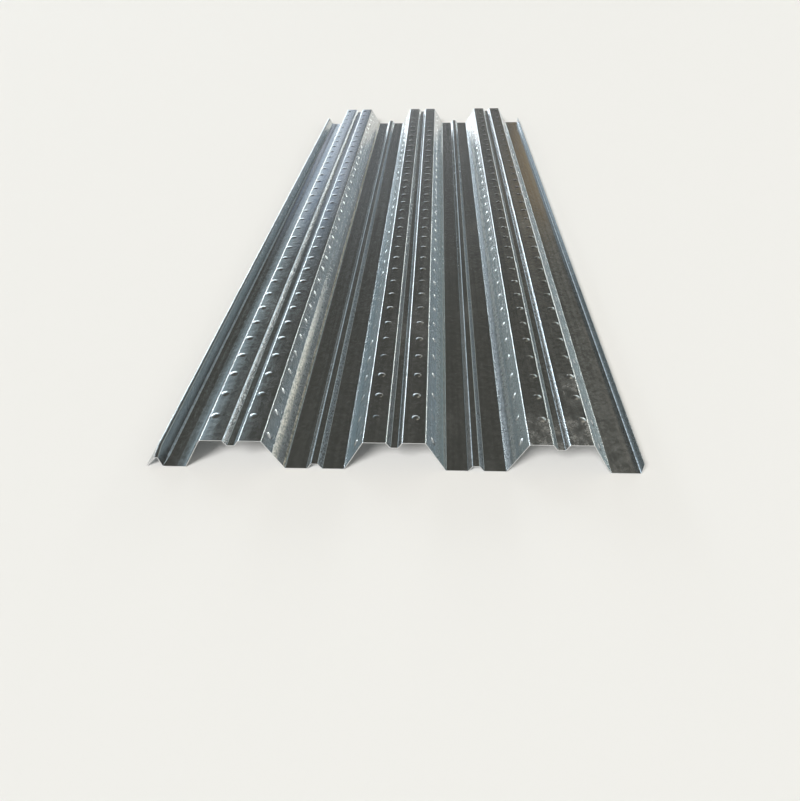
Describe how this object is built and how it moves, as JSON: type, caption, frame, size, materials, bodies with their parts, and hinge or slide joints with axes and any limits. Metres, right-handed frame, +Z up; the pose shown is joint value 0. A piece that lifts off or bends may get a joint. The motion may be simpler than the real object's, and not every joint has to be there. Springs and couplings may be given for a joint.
{
  "type": "steel floor decking sheet",
  "caption": "Galvanised steel floor decking sheet with trapezoidal ribs, grooved crests, stiffened valleys and interlocking side laps, laid as formwork under a concrete slab.",
  "frame": {"origin": "middle of the sheet's underside, on the plane of the valley flats", "axes": "+Y along the ribs, +X across the sheet towards the tongue edge, +Z up"},
  "size_m": [0.7294, 2, 0.052],
  "materials": {
    "galvanised_steel": "hot-dip galvanised, semi-bright"
  },
  "bodies": {
    "root": {"decking_sheet": "galvanised_steel"}
  },
  "joints": []
}
